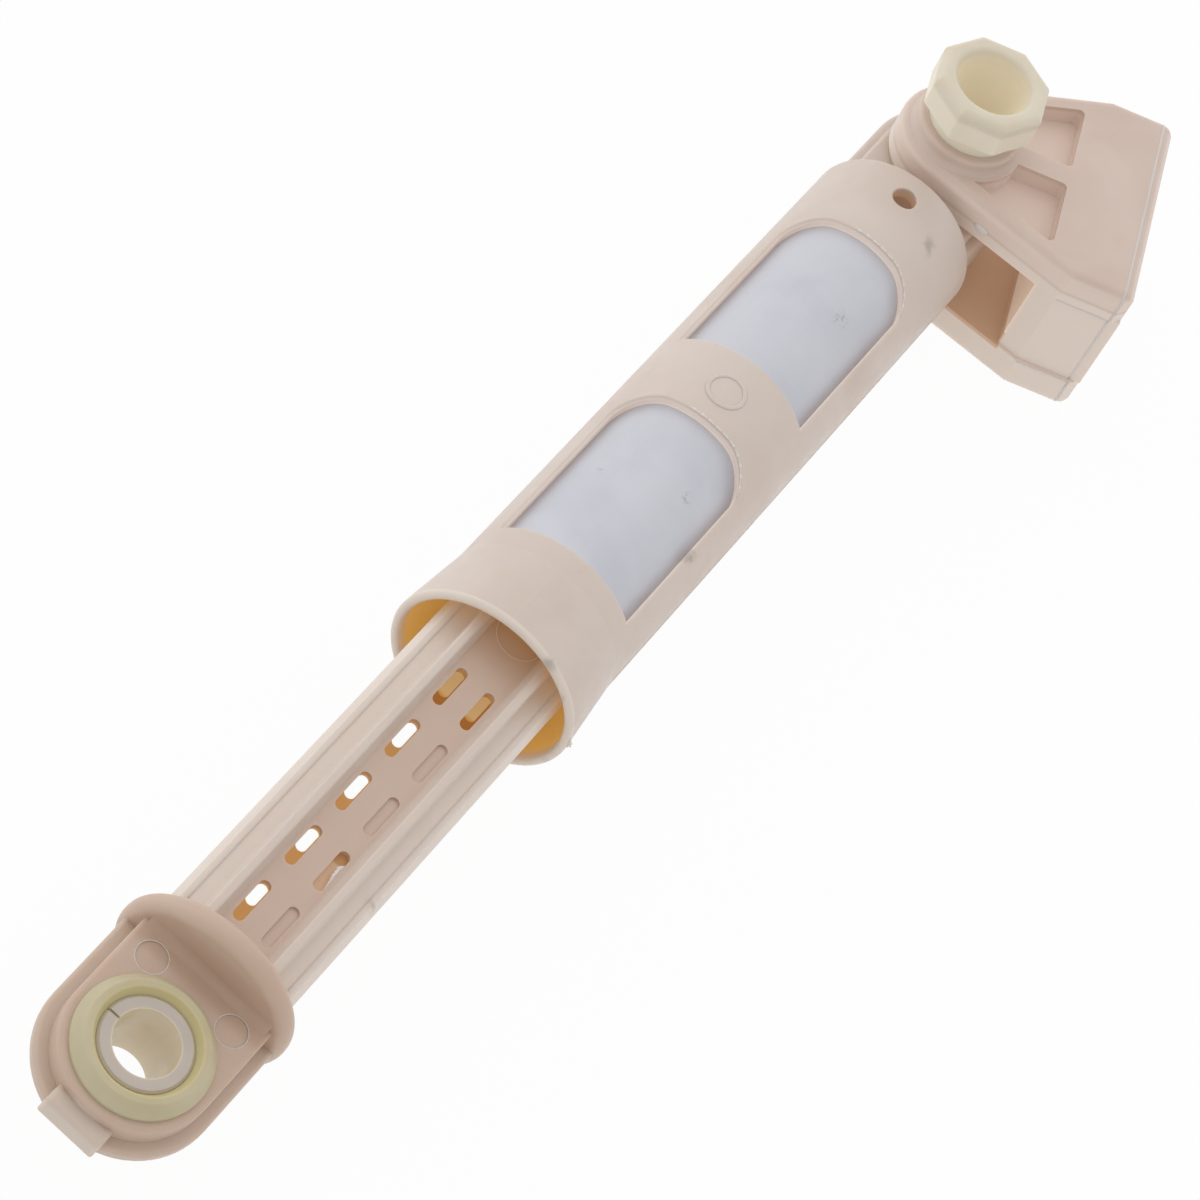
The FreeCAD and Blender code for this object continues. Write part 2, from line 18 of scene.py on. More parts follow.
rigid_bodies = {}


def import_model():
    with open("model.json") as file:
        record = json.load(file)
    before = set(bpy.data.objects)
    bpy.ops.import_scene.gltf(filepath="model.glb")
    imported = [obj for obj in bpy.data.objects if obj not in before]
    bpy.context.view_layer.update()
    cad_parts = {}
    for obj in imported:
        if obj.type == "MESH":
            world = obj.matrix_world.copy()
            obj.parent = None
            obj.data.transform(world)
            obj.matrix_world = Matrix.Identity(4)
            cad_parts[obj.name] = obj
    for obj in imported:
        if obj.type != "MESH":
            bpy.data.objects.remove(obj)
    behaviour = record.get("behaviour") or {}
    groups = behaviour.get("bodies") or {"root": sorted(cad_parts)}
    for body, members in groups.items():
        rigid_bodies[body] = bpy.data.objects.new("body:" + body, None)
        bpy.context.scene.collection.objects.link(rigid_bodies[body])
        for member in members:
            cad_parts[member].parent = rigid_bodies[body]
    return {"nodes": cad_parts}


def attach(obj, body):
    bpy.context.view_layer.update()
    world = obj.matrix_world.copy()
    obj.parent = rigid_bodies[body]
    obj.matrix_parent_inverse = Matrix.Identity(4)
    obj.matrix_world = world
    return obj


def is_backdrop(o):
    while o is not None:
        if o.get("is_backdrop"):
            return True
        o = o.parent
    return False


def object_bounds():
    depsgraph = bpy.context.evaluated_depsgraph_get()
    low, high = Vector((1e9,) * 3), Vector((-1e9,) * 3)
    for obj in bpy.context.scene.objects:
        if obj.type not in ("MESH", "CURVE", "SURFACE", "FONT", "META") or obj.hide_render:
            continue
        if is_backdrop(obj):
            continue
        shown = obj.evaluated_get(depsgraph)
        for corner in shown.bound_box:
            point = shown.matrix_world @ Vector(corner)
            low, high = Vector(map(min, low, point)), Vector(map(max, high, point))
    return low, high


MM = 0.001
log = logging.getLogger("shock_absorber")

# Sizes of the solids that the added details sit on
HOUSING_R_MM = 16.0
FLARE_RIM_R_MM = 17.45
MOUTH_X_MM = 92.5
FLARE_END_X_MM = 108.0
HOUSING_END_X_MM = 225.4
WINDOW_ENDS_MM = (151.2, 206.0)
WINDOW_HALF_MM = 12.35
WINDOW_CORNER_MM = 6.5
PLUNGER_TWIST_DEG = 9.2
WEB_TOP_MM = 9.0
RAIL_Y_MM = 10.3
SHOULDER_Z_MM = 6.6
BAR_ENDS_MM = (20.8, 116.5)
PIVOT_X_MM = 240.4
BRACKET_ANGLE_DEG = -70.4
BRACKET_BOSS_R_MM = 11.8
BRACKET_WAIST_MM = 25.0
BRACKET_HALF_WIDTH_MM = 22.5
BRACKET_LINE_MM = 35.2
BRACKET_TOP_MM = 16.4
FORK_HALF_MM = 9.2
CLOSING_BLOCK_INSET_MM = 0.7

# The floor lies this far below the part, so that no face of the part shares its plane
FLOOR_GAP_MM = 0.05

# Points of an added mesh that are this close, in metres, become one
MERGE_GAP = 1e-7

# Sizes of the materials' patterns
MOTTLE_MM = 22.0
GRIME_MM = 5.0
GLOSS_PATCH_MM = 3.0
SINK_WAVE_MM = 9.0
GRAIN_MM = 0.35
MARK_PATCH_MM = 2.6
PLATING_CLOUD_MM = 14.0
SCUFF_PATCH_MM = 0.6
SPECK_MM = 0.9
DRAWN_LINE_MM = 0.5
FOAM_CELL_MM = 0.9
GREASE_PATCH_MM = 6.0

# Colours of the shared nylon, of marks and of the studio
CREAM_BODY = "d9cbc1"
CREAM_SHADE = "d3c2b6"
GRIME_BROWN = "9a8a7a"
MARK_GREY = "9c9288"
SCUFF_GREY = "8a8784"
SPECK_GREY = "8a8680"
PAPER_WHITE = "f6f6f6"
WHITE = "ffffff"

# Numbers of runs along the paths and round the sections of the added meshes
BEAD_STEPS = 6
LINE_STEPS = 12
FILLET_STEPS = 24
CORNER_STEPS = 6
HOUSING_RING_STEPS = 64
MARK_RING_STEPS = 72
SEAM_STEPS = 120
FLAKE_STEPS = 12
FLASH_STEPS = 30
FILM_STEPS = 24
SCAR_LOOPS = 6
SCAR_STEPS = 24

Socket = bpy.types.NodeSocket
Point = tuple[float, float, float]


class Body(Enum):
    """The moving bodies that pieces ride on."""

    HOUSING = "housing"
    PLUNGER = "plunger"
    FOOT = "foot"


class ZoneShape(Enum):
    """Shape of a zone, with 1 for each axis that its edge is measured across."""

    BOX = (1.0, 1.0, 1.0)
    ROD_ALONG_X = (0.0, 1.0, 1.0)
    ROD_ALONG_Z = (1.0, 1.0, 0.0)


def linear(colour: str) -> tuple[float, float, float, float]:
    """Turn an sRGB hex colour into linear values.

    Args:
        colour: Six hex digits, such as "d4c6bc".

    Returns:
        Linear red, green and blue, and an alpha of one.
    """
    parts = [int(colour[start:start + 2], 16) / 255 for start in (0, 2, 4)]
    values = [part / 12.92 if part <= 0.04045 else ((part + 0.055) / 1.055) ** 2.4 for part in parts]
    return (*values, 1.0)


def in_metres(point_mm: Point) -> Point:
    """Turn a point in millimetres into metres."""
    return tuple(value * MM for value in point_mm)


def pattern_scale(size_mm: float) -> float:
    """Return a texture's scale, in coordinates in metres, for a pattern of a size in millimetres."""
    return 1000.0 / size_mm


class ShaderTree:
    """The emptied node tree of one material or of the world."""

    def __init__(self, owner: bpy.types.Material | bpy.types.World) -> None:
        """Empty the owner's tree.

        Args:
            owner: The material or the world.
        """
        owner.use_nodes = True
        if isinstance(owner, bpy.types.Material):
            # A faint glow isn't worth sampling as a lamp, and the render is quicker without that
            owner.cycles.emission_sampling = "NONE"
        self.tree = owner.node_tree
        self.tree.nodes.clear()

    def add(self, kind: str, inputs: dict[str | int, object] | None = None, output: str | int = 0,
            **settings: object) -> Socket | None:
        """Add one node with its settings and links.

        Args:
            kind: Blender's node type, without its first word.
            inputs: A constant or another node's socket for each input, by name or number.
            output: Name or number of the output to hand on.
            settings: Values for the node's own properties.

        Returns:
            The chosen output, or nothing for a node without outputs.
        """
        node = self.tree.nodes.new("ShaderNode" + kind)
        for name, value in settings.items():
            setattr(node, name, value)
        for key, value in (inputs or {}).items():
            if isinstance(value, bpy.types.NodeSocket):
                self.tree.links.new(value, node.inputs[key])
            else:
                node.inputs[key].default_value = value
        return node.outputs[output] if node.outputs else None

    def clouds(self, place: Socket, size_mm: float, span: tuple[float, float],
               result: tuple[float, float] = (0.0, 1.0)) -> Socket:
        """Make soft patches of a real size.

        Args:
            place: Coordinates in metres.
            size_mm: Size of the patches.
            span: Noise values where the patches start and where they are full.
            result: Values outside and inside the patches.

        Returns:
            The patches' socket.
        """
        noise = self.add("TexNoise", {
            "Vector": place, "Scale": pattern_scale(size_mm), "Detail": 4.0, "Distortion": 0.4,
        })
        return self.add("MapRange", {0: noise, 1: span[0], 2: span[1], 3: result[0], 4: result[1]},
                        interpolation_type="SMOOTHSTEP")

    def smears(self, place: Socket, colour: Socket, marks_mm: tuple[tuple[float, ...], ...], patch_mm: float,
               tone: str) -> Socket:
        """Lay patchy marks of another tone over a colour.

        Args:
            place: Coordinates in metres.
            colour: The colour so far.
            marks_mm: Place and radius of each mark.
            patch_mm: Size of the patches inside a mark.
            tone: Colour of the marks.

        Returns:
            The marked colour's socket.
        """
        for x, y, z, radius in marks_mm:
            gap = self.add("VectorMath", {0: place, 1: in_metres((x, y, z))}, "Value", operation="DISTANCE")
            near = self.add("MapRange", {0: gap, 1: radius * MM, 2: 0.0}, interpolation_type="SMOOTHSTEP")
            patches = self.clouds(place, patch_mm, (0.45, 0.65), (0.0, 0.6))
            share = self.add("Math", {0: near, 1: patches}, operation="MULTIPLY")
            colour = self.add("Mix", {0: share, 6: colour, 7: linear(tone)}, 2, data_type="RGBA")
        return colour


@dataclass(frozen=True)
class PaintedLightZone:
    """A soft-edged part of a moulding with a painted tone of shade or light, such as a hollow that looks lit
    through its walls by a painted glow.

    Attributes:
        centre_mm: Middle of the zone.
        half_mm: Half sizes along the zone's axes, or a rod's half length and then its radius.
        colour: Colour inside, a painted shade or painted light.
        amount: Share of that colour.
        glow: Strength of a painted glow that stands in for light coming through the wall.
        turn_deg: Turn of the zone's axes about X, Y and Z.
        shape: Box, or rod along one of the zone's axes.
        edge_mm: Width of the soft edge.
    """

    centre_mm: Point
    half_mm: tuple[float, ...]
    colour: str
    amount: float
    glow: float = 0.0
    turn_deg: Point = (0.0, 0.0, 0.0)
    shape: ZoneShape = ZoneShape.BOX
    edge_mm: float = 0.4

    def mask(self, tree: ShaderTree, place: Socket) -> Socket:
        """Make the zone's mask.

        Args:
            tree: The material's nodes.
            place: Coordinates in metres.

        Returns:
            The mask's socket, 1 inside.
        """
        offset = tree.add("VectorMath", {0: place, 1: in_metres(self.centre_mm)}, operation="SUBTRACT")
        turn = tuple(math.radians(-angle) for angle in self.turn_deg)
        local = tree.add("Mapping", {"Vector": offset, "Rotation": turn})
        reach = tree.add("VectorMath", {0: local}, operation="ABSOLUTE")
        along_x, along_y, along_z = tree.add("SeparateXYZ", {0: reach}).node.outputs
        if self.shape is ZoneShape.BOX:
            distances = (along_x, along_y, along_z)
        else:
            across = tree.add("VectorMath", {0: local, 1: self.shape.value}, operation="MULTIPLY")
            radius = tree.add("VectorMath", {0: across}, "Value", operation="LENGTH")
            distances = (along_x if self.shape is ZoneShape.ROD_ALONG_X else along_z, radius)
        mask: Socket | float = 1.0
        for distance, half in zip(distances, self.half_mm):
            inside = tree.add("MapRange", {0: distance, 1: half * MM, 2: (half - self.edge_mm) * MM},
                              interpolation_type="SMOOTHSTEP")
            mask = tree.add("Math", {0: mask, 1: inside}, operation="MULTIPLY")
        return mask


@dataclass(frozen=True)
class MouldedPlastic:
    """Pale moulded nylon or rubber: soft broad gloss, faint mottling, a fine grain and grey handling marks.

    Attributes:
        name: Material name.
        base: Main colour.
        shade: Colour of the mottling.
        roughness: Mean roughness.
        scatter: Share of light that scatters below the surface.
        zones: Parts with painted shade or painted light, and a painted glow.
        marks_mm: Place and radius of each grey handling mark.
    """

    name: str
    base: str
    shade: str
    roughness: float
    scatter: float
    zones: tuple[PaintedLightZone, ...] = ()
    marks_mm: tuple[tuple[float, float, float, float], ...] = ()

    def build(self) -> bpy.types.Material:
        """Make the material.

        Returns:
            The new material.
        """
        material = bpy.data.materials.new(self.name)
        tree = ShaderTree(material)
        place = tree.add("TexCoord", output="Object")
        mottle = tree.clouds(place, MOTTLE_MM, (0.35, 0.7))
        base, shade = linear(self.base), linear(self.shade)
        colour = tree.add("Mix", {0: mottle, 6: base, 7: shade}, 2, data_type="RGBA")
        grime = tree.clouds(place, GRIME_MM, (0.66, 0.82), (0.0, 0.14))
        colour = tree.add("Mix", {0: grime, 6: colour, 7: linear(GRIME_BROWN)}, 2, data_type="RGBA")
        glow: Socket | float = 0.0
        # Each zone paints shade or light into the colour and a glow into the emission
        for zone in self.zones:
            inside = zone.mask(tree, place)
            share = tree.add("Math", {0: inside, 1: zone.amount}, operation="MULTIPLY")
            colour = tree.add("Mix", {0: share, 6: colour, 7: linear(zone.colour)}, 2, data_type="RGBA")
            glow = tree.add("MapRange", {0: inside, 1: 0.0, 2: 1.0, 3: glow, 4: zone.glow})
        colour = tree.smears(place, colour, self.marks_mm, MARK_PATCH_MM, MARK_GREY)
        gloss = (self.roughness - 0.07, self.roughness + 0.09)
        roughness = tree.clouds(place, GLOSS_PATCH_MM, (0.3, 0.7), gloss)
        waves = tree.add("TexNoise", {"Vector": place, "Scale": pattern_scale(SINK_WAVE_MM), "Detail": 1.0})
        sunk = tree.add("Bump", {"Height": waves, "Distance": 0.1 * MM, "Strength": 0.2})
        # The moulded grain is finer than 0.1 mm, and it is drawn at 0.35 mm so that it shows
        grain = tree.add("TexNoise", {"Vector": place, "Scale": pattern_scale(GRAIN_MM), "Detail": 2.0})
        normal = tree.add("Bump", {"Height": grain, "Distance": 0.02 * MM, "Strength": 0.3, "Normal": sunk})
        shader = tree.add("BsdfPrincipled", {
            "Base Color": colour, "Roughness": roughness, "Normal": normal, "IOR": 1.5,
            "Subsurface Weight": self.scatter, "Subsurface Radius": (1.0, 0.62, 0.34),
            "Subsurface Scale": 2.2 * MM, "Emission Color": colour, "Emission Strength": glow,
        })
        tree.add("OutputMaterial", {"Surface": shader})
        return material


@dataclass(frozen=True)
class PlatedSteel:
    """Drawn steel tube with a dull zinc plating: a pale bluish grey with lines along it and small scuffs.

    Attributes:
        name: Material name.
        base: Main colour.
        shade: Colour of the cloudy plating.
        scuffs_mm: Place and radius of each group of scuffs.
    """

    name: str
    base: str
    shade: str
    scuffs_mm: tuple[tuple[float, float, float, float], ...]

    def build(self) -> bpy.types.Material:
        """Make the material.

        Returns:
            The new material.
        """
        material = bpy.data.materials.new(self.name)
        tree = ShaderTree(material)
        place = tree.add("TexCoord", output="Object")
        cloud = tree.clouds(place, PLATING_CLOUD_MM, (0.35, 0.7))
        colour = tree.add("Mix", {0: cloud, 6: linear(self.base), 7: linear(self.shade)}, 2, data_type="RGBA")
        colour = tree.smears(place, colour, self.scuffs_mm, SCUFF_PATCH_MM, SCUFF_GREY)
        specks = tree.clouds(place, SPECK_MM, (0.77, 0.82), (0.0, 0.35))
        colour = tree.add("Mix", {0: specks, 6: colour, 7: linear(SPECK_GREY)}, 2, data_type="RGBA")
        # The drawing lines are some 0.1 mm apart, and they are drawn at 0.5 mm so that they show
        drawn = tree.add("Mapping", {"Vector": place, "Scale": (0.02, 1.0, 1.0)})
        lines = tree.add("TexNoise", {"Vector": drawn, "Scale": pattern_scale(DRAWN_LINE_MM), "Detail": 3.0})
        roughness = tree.add("MapRange", {0: lines, 1: 0.25, 2: 0.75, 3: 0.4, 4: 0.55})
        normal = tree.add("Bump", {"Height": lines, "Distance": 0.006 * MM, "Strength": 0.5})
        # The dull plating scatters most of the light, so only a part of it reflects as bare metal does
        shader = tree.add("BsdfPrincipled", {
            "Base Color": colour, "Roughness": roughness, "Normal": normal, "Metallic": 0.25,
        })
        tree.add("OutputMaterial", {"Surface": shader})
        return material


@dataclass(frozen=True)
class GreasedFoam:
    """Open-celled foam soaked with grease: dark pores between dull brown walls with wet patches.

    Attributes:
        name: Material name.
        base: Colour of the foam.
        pore: Colour inside the cells.
    """

    name: str
    base: str
    pore: str

    def build(self) -> bpy.types.Material:
        """Make the material.

        Returns:
            The new material.
        """
        material = bpy.data.materials.new(self.name)
        tree = ShaderTree(material)
        place = tree.add("TexCoord", output="Object")
        cells = tree.add("TexVoronoi", {"Vector": place, "Scale": pattern_scale(FOAM_CELL_MM)})
        wall = tree.add("MapRange", {0: cells, 1: 0.15, 2: 0.55}, interpolation_type="SMOOTHSTEP")
        colour = tree.add("Mix", {0: wall, 6: linear(self.pore), 7: linear(self.base)}, 2, data_type="RGBA")
        roughness = tree.clouds(place, GREASE_PATCH_MM, (0.3, 0.7), (0.45, 0.85))
        normal = tree.add("Bump", {"Height": wall, "Distance": 0.3 * MM, "Strength": 0.8})
        shader = tree.add("BsdfPrincipled", {"Base Color": colour, "Roughness": roughness, "Normal": normal})
        tree.add("OutputMaterial", {"Surface": shader})
        return material


# Turns of the plunger's and the bracket's zones
TWISTED = (PLUNGER_TWIST_DEG, 0.0, 0.0)
SWUNG = (0.0, 0.0, BRACKET_ANGLE_DEG)

# Natural nylon, moulded: a warm cream with a broad soft sheen; amber at the mouth is a painted glow
HOUSING_PLASTIC = MouldedPlastic(
    "cream_nylon_housing", CREAM_BODY, CREAM_SHADE, 0.44, 0.2,
    zones=(
        # Rim of the mouth: paler, a painted highlight with a faint painted glow
        PaintedLightZone((92.0, 0.0, 0.0), (1.9, 18.5), "e2d8cb", 0.6, 0.03, shape=ZoneShape.ROD_ALONG_X),
        # Inside of the mouth: painted amber glow
        PaintedLightZone((100.0, 0.0, 0.0), (9.8, 16.0), "d9ae5c", 1.0, 0.3, shape=ZoneShape.ROD_ALONG_X),
        # Walls of the windows, and then the inside of the tube: a painted glow that lifts their shade
        PaintedLightZone((160.0, 0.0, 0.0), (50.0, 15.8), CREAM_BODY, 0.5, 0.26, shape=ZoneShape.ROD_ALONG_X),
        PaintedLightZone((160.0, 0.0, 0.0), (50.0, 14.9), CREAM_BODY, 0.5, 0.34, shape=ZoneShape.ROD_ALONG_X),
        # Part of the mouth's wall that shows through the plunger's slots: painted amber glow
        PaintedLightZone((104.0, 2.5, -13.5), (8.0, 7.0, 4.5), "e0c590", 1.0, 0.34, edge_mm=1.0),
        # Inside of the closed end, which shows through the vent: painted brown shade with a painted glow
        PaintedLightZone((218.0, 0.0, 0.0), (6.0, 15.4), "b48a68", 0.8, 0.3, shape=ZoneShape.ROD_ALONG_X),
    ),
    marks_mm=((215.3, -8.2, 13.8, 3.0), (131.3, -13.4, 8.8, 4.0), (92.9, -8.5, 15.0, 2.4),
              (93.0, -14.0, 10.2, 2.4), (93.0, -16.8, 4.2, 2.4), (93.2, -16.0, -5.5, 2.0)))

# The same moulded nylon: painted shade on the eye end and the webs, a painted amber glow inside the hollow
# bar
PLUNGER_PLASTIC = MouldedPlastic(
    "cream_nylon_plunger", CREAM_BODY, CREAM_SHADE, 0.42, 0.2,
    zones=(
        # Eye plate and flange: painted shade
        PaintedLightZone((-4.0, 0.0, 0.0), (24.8, 30.0, 30.0), "c5a58c", 0.65),
        # Rim of the eye plate: paler, painted light
        PaintedLightZone((-4.0, 0.0, 0.0), (20.0, 30.0, 2.2), "d0bcab", 0.65, turn_deg=TWISTED),
        # Pad on the rim: paler, painted light
        PaintedLightZone((-14.6, -0.3, 2.0), (2.2, 5.6, 3.0), "d6cabd", 0.7, turn_deg=TWISTED),
        # Cove before the flange: painted shade
        PaintedLightZone((14.6, -1.4, 8.4), (2.8, 15.0, 4.0), "b08a6b", 0.5, turn_deg=TWISTED, edge_mm=2.0),
        # Bar, its grooves and its webs: paler painted light with a faint painted glow, then painted shade on
        # the webs
        PaintedLightZone((70.0, 0.0, 0.0), (49.0, 30.0, 12.5), "e2d6cb", 0.35, turn_deg=TWISTED),
        PaintedLightZone((70.0, 0.0, 0.0), (49.0, 30.0, 7.5), "e4d7cc", 0.65, 0.05, turn_deg=TWISTED),
        PaintedLightZone((64.0, 0.0, 0.0), (43.0, 5.0, 12.0), "c7aa96", 0.7, turn_deg=TWISTED),
        # Hollow of the bar, outside and then inside the mouth: painted amber glow
        PaintedLightZone((53.0, 0.0, 0.0), (31.0, 5.2, 8.3), "d0b07a", 1.0, 0.29, turn_deg=TWISTED),
        PaintedLightZone((111.0, 0.0, 0.0), (27.2, 5.2, 8.5), "bb8c4e", 1.0, 0.3, turn_deg=TWISTED),
        # Floor of the slot with the film, and its deeper end: painted shade with a painted glow
        PaintedLightZone((42.1, -4.1, 7.2), (4.8, 1.6, 0.8), "c9a98b", 1.0, 0.17, turn_deg=TWISTED),
        PaintedLightZone((45.6, -4.1, 7.2), (1.6, 1.6, 0.8), "b58a5c", 1.0, 0.15, turn_deg=TWISTED, edge_mm=0.7),
    ),
    marks_mm=((44.3, -12.2, 5.0, 2.5),))

# The same moulded nylon: painted brown shade in the fork, paler painted light and a painted glow on the sides
BRACKET_PLASTIC = MouldedPlastic(
    "cream_nylon_bracket", "dac7bb", "d4beb1", 0.45, 0.2,
    zones=(
        # Sides of the cheeks and the block, and then their upper part with the pockets: paler painted light
        # with a faint painted glow
        PaintedLightZone((245.1, -13.2, -4.65), (27.0, 30.0, 16.55), "e2d4c8", 0.9, 0.07, turn_deg=SWUNG, edge_mm=0.8),
        PaintedLightZone((245.1, -13.2, 13.8), (27.0, 30.0, 2.2), "dfcdc1", 0.8, 0.07, turn_deg=SWUNG, edge_mm=0.8),
        # Inside of the fork, and then the face that lies deepest in its shade: warm painted shade with a
        # painted glow, then painted brown shade
        PaintedLightZone((241.9, -4.24, 0.0), (16.8, 30.0, 9.5), "d9c4b0", 0.8, 0.26, turn_deg=SWUNG),
        PaintedLightZone((241.9, -4.24, -8.0), (16.8, 30.0, 2.2), "b38b67", 0.75, 0.2, turn_deg=SWUNG),
    ))

# Thin flash and torn gates of the nylon: whitened by strain, so paler and duller than the rest; on the
# bracket's lines the pale colour is a painted highlight
FLASH_AND_HIGHLIGHT_PLASTIC = MouldedPlastic("cream_nylon_flash_and_highlight", "efe4da", "e8dbcf", 0.5, 0.3)

# Acetal, moulded: a greyer cream with a tighter sheen, with a painted glow on its side and in its bore
SLEEVE_PLASTIC = MouldedPlastic(
    "cream_acetal_sleeve", "c6bbb0", "beb2a6", 0.36, 0.2,
    zones=(
        # Outer side below the end faces, and then the bore: paler painted light with a painted glow
        PaintedLightZone((0.0, 0.0, 0.0), (7.6, 9.0), "cfc49c", 0.7, 0.06, turn_deg=TWISTED, shape=ZoneShape.ROD_ALONG_Z),
        PaintedLightZone((0.0, 0.0, 0.0), (9.0, 5.7), "d9ccb4", 0.8, 0.1, turn_deg=TWISTED, shape=ZoneShape.ROD_ALONG_Z),
    ))

# Ivory nylon, moulded: a yellowish white, with a painted glow on its head and in its bore's mouth
PIN_PLASTIC = MouldedPlastic(
    "ivory_nylon_pin", "e2dac8", "dbd1bb", 0.38, 0.3,
    zones=(
        # Head, and then the bore's mouth: painted light with a painted glow
        PaintedLightZone((PIVOT_X_MM, 0.0, 18.0), (10.5, 14.0), "e8e0cc", 0.6, 0.07,
             shape=ZoneShape.ROD_ALONG_Z, edge_mm=1.0),
        PaintedLightZone((PIVOT_X_MM, 0.0, 20.0), (12.0, 7.0), "ddd2b8", 0.7, 0.16, shape=ZoneShape.ROD_ALONG_Z),
    ))

# Ivory acetal, moulded: a yellowish edge with a soft sheen, the only part of the lug's bush that shows
BUSH_PLASTIC = MouldedPlastic("ivory_acetal_bush", "d4cab2", "cbbfa4", 0.4, 0.25)

# Ivory rubber, moulded: a soft dull yellow, with a deeper yellow tint of painted shade and a faint painted
# glow beside the sleeve
SOFT_BUSH = MouldedPlastic(
    "ivory_rubber_bush", "c8be9f", "bfb18a", 0.5, 0.25,
    # Beside the sleeve: a deeper yellow tint of painted shade with a faint painted glow
    zones=(PaintedLightZone((0.0, 0.0, 0.0), (12.0, 8.9), "cbbf8c", 0.8, 0.04, turn_deg=TWISTED,
                shape=ZoneShape.ROD_ALONG_Z),))

# Drawn steel, zinc plated: a cool pale grey with blurred reflections and a few small scuffs
LINER_STEEL = PlatedSteel(
    "zinc_plated_steel", "cdced5", "c7c8d0",
    ((138.2, -6.7, 12.5, 1.6), (189.7, -5.4, 13.1, 2.6), (132.0, 7.1, 12.3, 1.0)))

# Open foam, soaked with grease: dark pores between dull brown walls, shinier where it is wet
LINING_FOAM = GreasedFoam("greased_foam", "6f6454", "2c2722")

NODE_FINISHES: dict[str, MouldedPlastic | PlatedSteel | GreasedFoam] = {
    "outer_housing": HOUSING_PLASTIC,
    "liner_sleeve": LINER_STEEL,
    "lug_bush": BUSH_PLASTIC,
    "plunger_rod": PLUNGER_PLASTIC,
    "friction_lining": LINING_FOAM,
    "rod_eye_bush": SOFT_BUSH,
    "rod_eye_sleeve": SLEEVE_PLASTIC,
    "foot_bracket": BRACKET_PLASTIC,
    "pivot_pin": PIN_PLASTIC,
}


def add_piece(name: str, mesh: bmesh.types.BMesh, material: bpy.types.Material, body: Body) -> None:
    """Turn a bmesh into a smooth piece that rides on a body.

    Args:
        name: Piece name.
        mesh: The built mesh, in metres in the frame.
        material: Its material.
        body: The body that carries it.
    """
    bmesh.ops.remove_doubles(mesh, verts=mesh.verts[:], dist=MERGE_GAP)
    bmesh.ops.dissolve_degenerate(mesh, dist=MERGE_GAP, edges=mesh.edges[:])
    bmesh.ops.recalc_face_normals(mesh, faces=mesh.faces[:])
    data = bpy.data.meshes.new(name)
    mesh.to_mesh(data)
    mesh.free()
    for polygon in data.polygons:
        polygon.use_smooth = True
    data.materials.append(material)
    piece = bpy.data.objects.new(name, data)
    bpy.context.scene.collection.objects.link(piece)
    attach(piece, body.value)
    log.info("piece %s: %d faces on %s", name, len(data.polygons), body.value)


def skin(rows: list[list[Vector]], closed: bool) -> bmesh.types.BMesh:
    """Join loops of points with quads into a closed skin.

    Args:
        rows: Loops with the same number of points, in millimetres.
        closed: Whether the last loop joins the first, and otherwise both are capped.

    Returns:
        The mesh, in metres.
    """
    mesh = bmesh.new()
    grid = [[mesh.verts.new(point * MM) for point in row] for row in rows]
    pairs = list(zip(grid, grid[1:]))
    if closed:
        pairs.append((grid[-1], grid[0]))
    else:
        mesh.faces.new(grid[0])
        mesh.faces.new(grid[-1])
    for first, second in pairs:
        for index in range(len(first)):
            after = (index + 1) % len(first)
            mesh.faces.new((first[index], first[after], second[after], second[index]))
    return mesh


def bead(path: list[tuple[Vector, Vector]], half_width_mm: float, height_mm: float, closed: bool = False,
         ragged: float = 0.0) -> bmesh.types.BMesh:
    """Build a half-round bead along a path on a surface.

    Args:
        path: Points of the path, in millimetres, each with the surface's outward normal.
        half_width_mm: Half width of the bead.
        height_mm: Height of the bead.
        closed: Whether the path joins up.
        ragged: Share of the width and height that comes and goes along the bead.

    Returns:
        The bead's mesh.
    """
    sink_mm = 0.02
    last = len(path) - 1
    rows = []
    for index, (point, normal) in enumerate(path):
        before = path[index - 1 if closed else max(index - 1, 0)][0]
        after = path[(index + 1) % len(path) if closed else min(index + 1, last)][0]
        side = (after - before).cross(normal).normalized()
        # Two waves that don't fall in step make the bead come and go unevenly
        swell = 1.0 - ragged * (0.5 + 0.5 * math.sin(index * 1.7) * math.cos(index * 0.61))
        row = []
        for part in range(BEAD_STEPS + 1):
            turn = math.pi * part / BEAD_STEPS
            rise = height_mm * swell * math.sin(turn) - sink_mm
            row.append(point - side * (half_width_mm * swell * math.cos(turn)) + normal * rise)
        rows.append(row)
    return skin(rows, closed)


def straight(start: Vector, end: Vector, normal: Vector, steps: int) -> list[tuple[Vector, Vector]]:
    """Return a straight path on a flat face.

    Args:
        start: First point, in millimetres.
        end: Last point.
        normal: The face's outward normal.
        steps: Number of runs.

    Returns:
        The path's points and normals.
    """
    return [(start.lerp(end, step / steps), normal) for step in range(steps + 1)]


